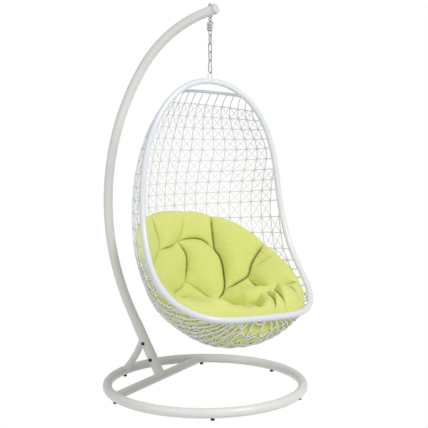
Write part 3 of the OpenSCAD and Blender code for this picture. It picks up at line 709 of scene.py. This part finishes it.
# ----------------------------------------------------------------------------- basket
@dataclass
class Basket:
    """The rim, the back rail and the open net that is tied between them.

    A row is a strand across the basket, an upright one down it.  Lengths are in
    millimetres, and the under values say where on the middle line the seat's
    underside begins, over which share it comes in, and by how much strands are
    thicker there.
    """

    shop: Workshop
    back_rows: int = 10
    top_rows: int = 3
    top_drop: float = 116.0
    top_gap: float = 62.5
    back_drop: float = 242.0
    back_gap: float = 61.0
    tilt: tuple[float, float] = (12.0, -5.0)
    sag: tuple[float, float, float] = (6.0, -8.0, -27.0)
    row_gap: float = 78.0
    lip_room: float = 30.0
    lip_gap: float = 36.0
    ease_rows: int = 7
    uprights: int = 12
    fine_gap: float = 41.0
    wide_gap: float = 62.0
    widen_drop: float = 70.0
    widen_over: float = 330.0
    middle: tuple[float, float] = (-13.0, 27.0)
    strand: float = 2.7
    cross_strand: float = 1.6
    under_from: float = 0.42
    under_over: float = 0.12
    under_extra: float = 0.45
    side_step: float = 2.2

    def build(self) -> None:
        """Builds the rim tube and the net, and paints what stays."""
        self.shop.keep("basket_eye", "back_rail")
        self.rim()
        self.net()

    def rim(self) -> None:
        """A smooth round tube along the rim's outline, butted at the top under the eye."""
        angle = np.linspace(0.0005, 2 * math.pi - 0.0005, 421)
        angle = angle - 0.35 * np.sin(angle)
        half, fwd, drop = SHAPE.rim(angle)
        path = SHAPE.place(np.stack([half, fwd, drop], -1))
        data = MeshData()
        sweep(data, path, SHAPE.rim_radius * MM, 28)
        self.shop.put(data.build("rim_bent_tube"), Body.BASKET, "basket_white", "rim_tube")

    @cached_property
    def arcs(self) -> tuple[np.ndarray, np.ndarray]:
        """Lengths of rows down the shell.

        Returns:
            Shares of the middle line, and the row's length there from middle to rim.
        """
        grid_v = np.linspace(0, 1, 101)
        p = SHAPE.point(grid_v[:, None], np.linspace(0, 1, 41)[None, :])
        return grid_v, np.linalg.norm(np.diff(p, axis=1), axis=-1).sum(1)

    def rows(self) -> list[tuple[float, float, float]]:
        """Where the rows lie.

        The back's rows have middles some 60 mm apart, tilt steadily the other way as
        they go down, and sag a little.  Below them the rows are evenly spaced along
        the middle line, and their tilt and sag ease off.

        Returns:
            For each row its middle's share of the middle line, its tilt and its sag.
        """
        fine = np.linspace(0, 1, 2001)
        line = SHAPE.profile(fine)
        run = np.r_[0, np.cumsum(np.linalg.norm(np.diff(line, axis=0), axis=1))]
        upper = slice(0, 1000)
        out = []
        for i in range(self.back_rows):
            drop = self.top_drop + self.top_gap * i
            if i >= self.top_rows:
                drop = self.back_drop + self.back_gap * (i - self.top_rows + 1)
            tilt = self.tilt[0] + self.tilt[1] * i
            sag = max(self.sag[0] + self.sag[1] * i, self.sag[2])
            out.append((float(np.interp(drop, line[upper, 1], fine[upper])), tilt, sag))
        v, tilt, sag = out[-1]
        start = float(np.interp(v, fine, run))
        steps = int((run[-1] - start - self.lip_room) / self.row_gap)
        for k in range(1, steps + 1):
            at = start + (run[-1] - start - self.lip_gap) * k / steps
            ease = max(0.0, 1 - k / self.ease_rows)
            out.append((float(np.interp(at, run, fine)), tilt * ease, sag * ease))
        return out

    def row_v(self, row: tuple[float, float, float], t: np.ndarray) -> np.ndarray:
        """Share of the middle line along a row, tilted and sagged in drop.

        Args:
            row: the row's middle, tilt and sag.
            t: share of the row.

        Returns:
            The shares of the middle line.
        """
        v0, tilt, sag = row
        ends = SHAPE.profile(np.array([v0 - 0.005, v0 + 0.005]))
        slope = 1 / max(float(np.diff(ends[:, 1])[0]) / 0.01, 300)
        return v0 + (tilt * t + sag * t**2) * slope

    def upright_t(self, k: int, v: np.ndarray) -> np.ndarray:
        """Where an upright crosses the rows: an even arc spacing that widens.

        Args:
            k: the upright's number, 0 in the middle.
            v: share of the middle line.

        Returns:
            The shares of the rows.
        """
        drop = SHAPE.profile(v)[..., 1]
        s = np.clip((drop - self.widen_drop) / self.widen_over, 0, 1)
        s = np.where(v > 0.25, 1.0, s * s * (3 - 2 * s))
        gap = self.fine_gap + (self.wide_gap - self.fine_gap) * s
        return (k * gap + self.middle[0] + self.middle[1] * s) / np.interp(v, *self.arcs)

    def warp(self, v: np.ndarray, t: np.ndarray) -> tuple[np.ndarray, np.ndarray]:
        """Hand-tied unevenness: two crossing sine waves each way, larger under the seat.

        They fade out at the rim, the rail and the lip.

        Args:
            v: share of the middle line.
            t: share of a row.

        Returns:
            Both shares, moved.
        """
        at_rim = np.clip((1 - np.abs(t)) / 0.12, 0, 1)
        grow = np.clip((v - self.under_from) / 0.2, 0, 1) * np.clip((1 - v) / 0.08, 0, 1) * at_rim
        even = 0.12 * at_rim * np.clip(v / 0.05, 0, 1)
        amount = even + grow
        dv = 0.0028 * np.sin(37 * t + 51 * v) + 0.0022 * np.sin(61 * t - 83 * v + 1.3)
        dt = 0.008 * np.sin(71 * v - 23 * t + 0.7) + 0.006 * np.sin(113 * v + 47 * t)
        return v + dv * amount, t + dt * amount

    def line(self, v: np.ndarray, t: np.ndarray, inset: float) -> np.ndarray:
        """Places a net line on the shell, inset towards the seat by some millimetres."""
        v, t = self.warp(v, t)
        return SHAPE.place(SHAPE.inward(SHAPE.point(np.clip(v, 0, 1), np.clip(t, -1, 1)), inset))

    def under(self, v: np.ndarray | float) -> np.ndarray:
        """How far a place is under the seat, from 0 on the back to 1."""
        return np.clip((v - self.under_from) / self.under_over, 0, 1)

    def thicker(self, v: np.ndarray, base: float) -> np.ndarray:
        """Strand radius in metres: heavier under the seat, where strands are doubled."""
        return (base + self.under_extra * self.under(v)) * MM

    def net(self) -> None:
        """Ties rows, uprights, corner-to-corner strands and the knots between them."""
        rows = self.rows()
        across, down, crosses, knots = MeshData(), MeshData(), MeshData(), MeshData()
        for row in rows:
            t = np.linspace(-1, 1, 91)
            v = self.row_v(row, t)
            sweep(across, self.line(v, t, self.side_step), self.thicker(v, self.strand), 8)
        for k in range(-self.uprights, self.uprights + 1):
            self.upright(down, k)
        grid = self.crossings(rows)
        for (i, k), (v, t) in grid.items():
            self.knot(knots, v, t)
            others = [grid.get(key) for key in ((i, k + 1), (i + 1, k), (i + 1, k + 1))]
            if any(o is None for o in others):
                continue
            right, below, corner = others
            for a, b in (((v, t), corner), (right, below)):
                s = np.linspace(0, 1, 6)
                lv, lt = a[0] + (b[0] - a[0]) * s, a[1] + (b[1] - a[1]) * s
                sweep(crosses, self.line(lv, lt, 0.0), self.thicker(lv, self.cross_strand), 6)
        LOG.info("net: %d rows, %d knots", len(rows), len(grid))
        nets = {"net_rows": across, "net_uprights": down, "net_crosses": crosses, "net_knots": knots}
        for name, data in nets.items():
            self.shop.put(data.build(name), Body.BASKET, "weave_grey", "woven_shell")

    def upright(self, data: MeshData, k: int) -> None:
        """Runs one upright down the shell, in each stretch where it lies on the shell.

        Args:
            data: the mesh that it is added to.
            k: the upright's number.
        """
        v = np.linspace(0, 0.997, 400)
        t = self.upright_t(k, v)
        inside = np.flatnonzero(np.abs(t) <= 1)
        for part in np.split(inside, np.flatnonzero(np.diff(inside) > 1) + 1):
            if len(part) < 8:
                continue
            keep = np.unique(np.r_[part[::3], part[-1]])
            sweep(data, self.line(v[keep], t[keep], -self.side_step), self.thicker(v[keep], self.strand), 8)

    def crossings(self, rows: list[tuple[float, float, float]]) -> dict[tuple[int, int], tuple[float, float]]:
        """Finds where rows and uprights cross, by going from one to the other in turn.

        Args:
            rows: the rows' middles, tilts and sags.

        Returns:
            Row and upright number to the crossing's two shares.
        """
        grid: dict[tuple[int, int], tuple[float, float]] = {}
        for i, row in enumerate(rows):
            for k in range(-self.uprights, self.uprights + 1):
                t = 0.0
                for _ in range(12):
                    v = float(self.row_v(row, np.array(t)))
                    t = float(self.upright_t(k, np.array(v)))
                if abs(t) < 0.985 and v < 0.99:
                    grid[i, k] = (v, t)
        return grid

    def knot(self, data: MeshData, v: float, t: float) -> None:
        """A crossing's tie: a short fat lozenge of strand wound round both strands.

        Args:
            data: the mesh that it is added to.
            v: the crossing's share of the middle line.
            t: its share of the row.
        """
        e = 0.004
        p = self.line(np.array([v, v, v + e]), np.array([t, t + e, t]), 0.0)
        along = p[1] - p[0]
        along /= np.linalg.norm(along)
        size = (4.2 + 1.2 * float(self.under(v))) * MM
        run = np.array([-1, -0.55, 0, 0.55, 1]) * size
        fat = np.array([0.35, 0.9, 1.0, 0.9, 0.35]) * size
        sweep(data, p[0] + run[:, None] * along, fat, 6, tag=0.75)


# ---------------------------------------------------------------------------- cushion
@dataclass(frozen=True)
class Seam:
    """A sewn line of the cushion as up, right points on its unit disc, and its depth."""

    line: tuple[tuple[float, float], ...]
    depth: float

    def rounded(self) -> np.ndarray:
        """Cuts the line's corners twice, to a quarter of each side, and keeps its ends.

        Returns:
            The smoother line's points.
        """
        points = np.array(self.line)
        for _ in range(2):
            near = 0.75 * points[:-1] + 0.25 * points[1:]
            far = 0.25 * points[:-1] + 0.75 * points[1:]
            cut = np.stack([near, far], 1).reshape(-1, 2)
            points = np.vstack([points[:1], cut, points[-1:]])
        return points


SEAMS: tuple[Seam, ...] = (
    # From the deepest tuft up the middle of the back
    Seam(
        ((0.10, 0.16), (0.22, 0.28), (0.40, 0.32), (0.53, 0.32), (0.59, 0.29), (0.75, 0.31), (0.97, 0.33)),
        1.0,
    ),
    # The round back panel's top and left side
    Seam(((0.59, 0.29), (0.71, 0.23), (0.75, 0.12), (0.72, -0.03)), 0.85),
    Seam(((0.72, -0.03), (0.60, 0.03), (0.47, 0.01), (0.33, -0.07)), 0.95),
    Seam(((0.33, -0.07), (0.25, 0.03), (0.10, 0.16)), 0.7),
    Seam(((0.72, -0.03), (0.65, -0.13), (0.62, -0.27)), 0.8),
    Seam(((0.72, -0.03), (0.82, 0.02), (0.97, 0.06)), 0.5),
    # To the right of the deepest tuft and up to the edge
    Seam(((0.22, 0.28), (0.26, 0.38), (0.32, 0.51), (0.42, 0.55), (0.56, 0.64), (0.68, 0.72)), 1.0),
    Seam(((0.38, 0.55), (0.45, 0.66), (0.56, 0.80)), 0.5),
    Seam(((0.32, 0.51), (0.20, 0.56), (0.10, 0.65)), 0.8),
    # Behind the front roll
    Seam(
        (
            (0.28, -0.66), (0.19, -0.37), (0.16, -0.07), (0.11, 0.13), (0.00, 0.22), (-0.20, 0.29),
            (-0.24, 0.40), (-0.18, 0.53), (-0.04, 0.68), (0.06, 0.77), (0.14, 0.89), (0.20, 0.97),
        ),
        1.0,
    ),
    # Across the front roll
    Seam(((0.14, 0.05), (-0.18, -0.11), (-0.43, -0.29), (-0.62, -0.44)), 0.95),
    Seam(((-0.02, -0.10), (-0.22, -0.30), (-0.45, -0.50)), 0.5),
    Seam(((-0.20, 0.29), (-0.36, 0.38), (-0.50, 0.38), (-0.70, 0.30)), 0.85),
    Seam(((-0.18, 0.27), (-0.49, 0.16), (-0.70, 0.12)), 0.6),
    Seam(((-0.04, 0.68), (-0.34, 0.72), (-0.50, 0.86)), 0.75),
    Seam(((-0.16, 0.56), (-0.45, 0.60), (-0.72, 0.66)), 0.6),
    Seam(((0.06, 0.80), (-0.02, 0.94), (-0.14, 0.99)), 0.6),
    Seam(((0.18, -0.37), (0.00, -0.55), (-0.24, -0.80)), 0.7),
    # The left arm
    Seam(((0.62, -0.27), (0.74, -0.25), (0.94, -0.30)), 0.8),
    Seam(((0.62, -0.27), (0.50, -0.42), (0.28, -0.66)), 0.7),
    Seam(((0.50, -0.42), (0.46, -0.62), (0.50, -0.86)), 0.6),
    Seam(((0.33, -0.07), (0.24, -0.18), (0.20, -0.34)), 0.7),
    Seam(((0.28, -0.66), (0.20, -0.80), (0.12, -0.99)), 0.6),
)


@dataclass
class Cushion:
    """The loose seat cushion: a round quilt that fills the bowl and laps its rim.

    It is mapped from a unit disc whose middle lies at mid_v on the middle line.  Names
    that end in _v or _t are shares of the shell, the mm ones are millimetres, and the
    roll's shares are of the way out from the disc's middle.
    """

    shop: Workshop
    mid_v: float = 0.655
    half_v: float = 0.312
    half_t: float = 0.985
    square: float = 2.45
    thick: float = 95.0
    seat_thick: float = 75.0
    seat_v: float = 0.76
    seat_half_v: float = 0.14
    edge_share: float = 0.25
    back_gap: float = 5.0
    least_gap: float = 6.0
    draw_in: float = 0.035
    reach_mm: float = 600.0
    puff_mm: float = 105.0
    dip_mm: float = 72.0
    # Width of the painted shade along each sewn line
    crease_shade_mm: float = 3.9
    fold_mm: float = 3.4
    roll_mm: float = 74.0
    roll_from: float = 0.22
    roll_rise: float = 0.52
    roll_peak: float = 0.74
    roll_fall: float = 0.26
    rings: int = 134
    back_rings: int = 18
    spokes: int = 640

    def build(self) -> None:
        even = np.linspace(0, 1, self.rings + 1)
        rho = 0.5 * even + 0.5 * np.sin(even * math.pi / 2)
        rho_back = np.sin(np.linspace(0, 1, self.back_rings + 1) * math.pi / 2)
        angle = np.arange(self.spokes) * 2 * math.pi / self.spokes
        # tone is the painted crease shade of the seat side; the side on the shell gets none
        seat, tone = self.side(rho[:, None], angle[None, :], True)
        back, blank = self.side(rho_back[:, None], angle[None, :], False)
        reach = np.concatenate([rho, 2 - rho_back[-2::-1]])[:, None]
        closed = np.append(angle, 2 * math.pi)
        across, up = reach * np.cos(closed), reach * np.sin(closed)
        uv = np.stack([across * self.reach_mm * MM, up * self.reach_mm * MM], -1)
        data = MeshData()
        data.add_grid(np.concatenate([seat, back[-2::-1]]), uv, np.concatenate([tone, blank[-2::-1]]))
        piece = data.build("cushion_cover")
        self.close(piece)
        self.shop.put(piece, Body.CUSHION, "cushion_lime", "cushion")

    def close(self, piece: bpy.types.Object) -> None:
        """Merges each pole's ring into one point and turns every face outwards.

        Args:
            piece: the cushion.
        """
        bm = bmesh.new()
        bm.from_mesh(piece.data)
        bmesh.ops.remove_doubles(bm, verts=bm.verts, dist=1e-6)
        bmesh.ops.recalc_face_normals(bm, faces=bm.faces)
        bm.to_mesh(piece.data)
        bm.free()
        piece.data.shade_smooth()

    def seam_field(self, up: np.ndarray, right: np.ndarray) -> tuple[np.ndarray, np.ndarray, np.ndarray]:
        """What the sewn lines do at each point of the disc.

        A panel's height over its distance from a line is a quarter circle, flat from
        puff_mm on, and the panels of two lines multiply.  The gathers are waves along a
        line that start beside it and fade within some 60 mm of it.

        Args:
            up: the point's place towards the back's top.
            right: its place towards the right.

        Returns:
            The height's share, how near the point is to a line as the depth of its painted crease shade, and
            the gathers.
        """
        height = np.ones_like(up)
        near = np.zeros_like(up)
        gather = np.zeros_like(up)
        for number, seam in enumerate(SEAMS):
            best = np.full_like(up, 9.0)
            along = np.zeros_like(up)
            run = 0.0
            line = seam.rounded()
            for (a, b), (c, d) in zip(line, line[1:]):
                length = math.hypot(c - a, d - b)
                s = np.clip(((up - a) * (c - a) + (right - b) * (d - b)) / length**2, 0, 1)
                far = np.hypot(up - a - s * (c - a), right - b - s * (d - b))
                along = np.where(far < best, run + s * length, along)
                best = np.minimum(best, far)
                run += length
            mm = best * self.reach_mm
            # The line is sewn less deep towards its two ends
            ends = np.clip(np.minimum(along, run - along) * self.reach_mm / 60, 0, 1)
            deep = seam.depth * (0.55 + 0.45 * ends)
            share = np.sqrt(np.clip(1 - (1 - np.minimum(mm / self.puff_mm, 1)) ** 2, 0, 1))
            height *= 1 - deep * (1 - share)
            # Painted shade: a dark line a few millimetres wide along each sewn line, darker where it is sewn
            # deeper
            near = np.maximum(near, deep**1.8 * np.exp(-((mm / self.crease_shade_mm) ** 2)))
            phase = number * 1.7
            along_mm = along * self.reach_mm
            wave = np.sin(along_mm / 7.5 + phase) + 0.6 * np.sin(along_mm / 4.4 + 2 * phase)
            gather += seam.depth * wave * np.exp(-mm / 26) * np.clip((mm - 4) / 14, 0, 1)
        return height, near, gather

    def folds(self, up: np.ndarray, right: np.ndarray) -> np.ndarray:
        """Slack cloth: crossing waves whose crests are sharper than their troughs.

        They are strongest on the left arm and along the front roll, where the cover is
        bent over the rim, and fade out on the back.

        Args:
            up: the point's place towards the back's top.
            right: its place towards the right.

        Returns:
            The folds' height in millimetres.
        """
        x = up + 0.06 * np.sin(7.1 * right + 1.2) + 0.03 * np.sin(17.3 * up - 9.1 * right)
        y = right + 0.05 * np.sin(8.3 * up + 0.4)
        waves = 0.0
        for fx, fy, phase, share in ((15.0, 9.0, 0.3, 1.0), (-9.0, 23.0, 1.9, 0.8), (31.0, -17.0, 4.1, 0.5)):
            waves = waves + share * (1 - 2 * np.abs(np.sin((fx * x + fy * y) / 2 + phase)))
        slack = np.clip(np.maximum(-right - 0.05, -up + 0.05) / 0.5, 0, 1)
        return self.fold_mm * waves * slack

    def side(self, rho: np.ndarray, angle: np.ndarray, seat: bool) -> tuple[np.ndarray, np.ndarray]:
        """One side of the cushion.

        Args:
            rho: share of the way out from the disc's middle.
            angle: turn from the back's top, to the right.
            seat: whether it is the side to sit on, or the one on the shell.

        Returns:
            Model points, and how much painted crease shade each gets.
        """
        rho, angle = np.broadcast_arrays(rho, angle)
        cos, sin = np.cos(angle), np.sin(angle)
        k = (np.abs(cos) ** self.square + np.abs(sin) ** self.square) ** (-1 / self.square)
        height, near, gather = self.seam_field(rho * cos, rho * sin)
        # The sewn lines draw the edge in a little
        reach = rho * k * (1 - self.draw_in * (1 - height) * rho**6)
        v = self.mid_v - self.half_v * reach * cos
        t = self.half_t * reach * sin
        full = self.thick + self.seat_thick * np.exp(-(((v - self.seat_v) / self.seat_half_v) ** 2))
        crown = np.sqrt(np.clip(1 - rho**7, 0, 1))
        # The edge lies nearer the shell than the middle does
        mid = self.back_gap + full * (0.5 - self.edge_share * rho**6)
        if not seat:
            depth = np.maximum(mid - full / 2 * crown, self.least_gap)
            return SHAPE.place(SHAPE.inward(SHAPE.point(v, t), depth)), np.zeros_like(rho)
        loose = 1.5 * gather + self.folds(rho * cos, rho * sin)
        depth = mid + full / 2 * crown - (self.dip_mm * (1 - height) - loose) * crown
        points = SHAPE.inward(SHAPE.point(v, t), depth)
        # The front and the right arm are a fat roll that stands up behind the rim: it
        # rises to its peak as a smooth step and rounds off to the edge as a quarter circle
        step = np.clip((rho - self.roll_from) / self.roll_rise, 0, 1)
        fall = np.sqrt(np.clip(1 - ((rho - self.roll_peak) / self.roll_fall) ** 2, 0, 1))
        rise = np.where(rho < self.roll_peak, step * step * (3 - 2 * step), fall)
        front = np.clip((0.2 - cos + 0.3 * sin) / 0.7, 0, 1)
        roll = self.roll_mm * rise * front * (0.45 + 0.55 * height)
        return SHAPE.place(points + roll[..., None] * np.array([0.0, 0.25, -0.97])), near


# ----------------------------------------------------------------------------- studio
@dataclass(frozen=True)
class Studio:
    """Camera, floor and soft light for a product on white.

    Lamps are given as name, place, width in metres and watts.
    """

    eye: tuple[float, float, float] = (-4.730, -2.694, 1.608)
    yaw: float = math.radians(0.4934)
    pitch: float = math.radians(6.951)
    lens_mm: float = 88.16
    floor_half: float = 12.0
    surround: float = 0.5
    lamp_target: tuple[float, float, float] = (0.0, 0.0, 0.9)
    lamps: tuple[tuple[str, tuple[float, float, float], float, float], ...] = (
        ("key", (-0.9, -3.7, 3.9), 1.7, 112.0),
        ("fill", (-4.2, 0.6, 2.6), 2.4, 34.0),
    )

    def build(self) -> None:
        """Sets up the view, the floor and the lamps."""
        self.camera()
        self.floor()
        self.lights()
        scene = bpy.context.scene
        scene.view_settings.view_transform = "Standard"
        scene.view_settings.look = "None"

    def camera(self) -> None:
        """An upright camera left of the chair's front, some 5.4 m away, tilted down."""
        lo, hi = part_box("base_ring")
        centre = (Vector(lo) + Vector(hi)) / 2
        place = Vector((centre.x + self.eye[0], centre.y + self.eye[1], self.eye[2]))
        to_ring = math.atan2(-self.eye[1], -self.eye[0]) - self.yaw
        ahead = Vector(
            (
                math.cos(to_ring) * math.cos(self.pitch),
                math.sin(to_ring) * math.cos(self.pitch),
                -math.sin(self.pitch),
            )
        )
        data = bpy.data.cameras.new("view")
        data.sensor_width = 36.0
        data.lens = self.lens_mm
        cam = bpy.data.objects.new("view", data)
        bpy.context.scene.collection.objects.link(cam)
        cam.location = place
        cam.rotation_mode = "QUATERNION"
        cam.rotation_quaternion = ahead.to_track_quat("-Z", "Y")
        bpy.context.scene.camera = cam

    def floor(self) -> None:
        """A wide pale floor that the camera sees as plain white."""
        mesh = bpy.data.meshes.new("floor")
        r = self.floor_half
        mesh.from_pydata([(-r, -r, 0), (r, -r, 0), (r, r, 0), (-r, r, 0)], [], [(0, 1, 2, 3)])
        obj = bpy.data.objects.new("floor", mesh)
        bpy.context.scene.collection.objects.link(obj)
        n = Nodes("floor_white")
        path = n.add("LightPath")
        rays = {0: path.outputs["Is Camera Ray"], 1: path.outputs["Is Glossy Ray"]}
        seen = n.add("Math", rays, operation="MAXIMUM")
        white = n.add("Emission", {"Color": (1, 1, 1, 1), "Strength": 1.0})
        paper = n.add("BsdfDiffuse", {"Color": (0.8, 0.8, 0.8, 1)})
        mixed = n.add(
            "MixShader", {0: seen.outputs["Value"], 1: paper.outputs["BSDF"], 2: white.outputs["Emission"]}
        )
        mesh.materials.append(n.finish(mixed.outputs["Shader"]))

    def lights(self) -> None:
        """A white surround, a key lamp right of the camera and a weaker fill left of it."""
        world = bpy.data.worlds.new("surround")
        world.use_nodes = True
        tree = world.node_tree
        tree.nodes.clear()
        out = tree.nodes.new("ShaderNodeOutputWorld")
        path = tree.nodes.new("ShaderNodeLightPath")
        seen = tree.nodes.new("ShaderNodeBackground")
        seen.inputs["Color"].default_value = (1, 1, 1, 1)
        seen.inputs["Strength"].default_value = 1.0
        lit = tree.nodes.new("ShaderNodeBackground")
        lit.inputs["Color"].default_value = (0.97, 0.985, 1.0, 1)
        lit.inputs["Strength"].default_value = self.surround
        mix = tree.nodes.new("ShaderNodeMixShader")
        tree.links.new(path.outputs["Is Camera Ray"], mix.inputs[0])
        tree.links.new(lit.outputs["Background"], mix.inputs[1])
        tree.links.new(seen.outputs["Background"], mix.inputs[2])
        tree.links.new(mix.outputs["Shader"], out.inputs["Surface"])
        bpy.context.scene.world = world
        for name, place, size, watts in self.lamps:
            data = bpy.data.lights.new(name, "AREA")
            data.shape = "DISK"
            data.size = size
            data.energy = watts
            lamp = bpy.data.objects.new(name, data)
            bpy.context.scene.collection.objects.link(lamp)
            lamp.location = place
            lamp.rotation_mode = "QUATERNION"
            aim = Vector(self.lamp_target) - Vector(place)
            lamp.rotation_quaternion = aim.to_track_quat("-Z", "Y")


# ------------------------------------------------------------------------------- main
def main() -> None:
    """Builds the whole scene."""
    logging.basicConfig(level=logging.INFO, format="%(name)s: %(message)s")
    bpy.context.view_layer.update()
    slots = {part["node"]: part["material_slot"] for part in frame["record"]["subparts"]}
    shop = Workshop(frame["nodes"], slots, Palette())
    for part in (Stand(shop), Hanger(shop), Basket(shop), Cushion(shop)):
        part.build()
    Studio().build()


if __name__ == "__main__":
    main()
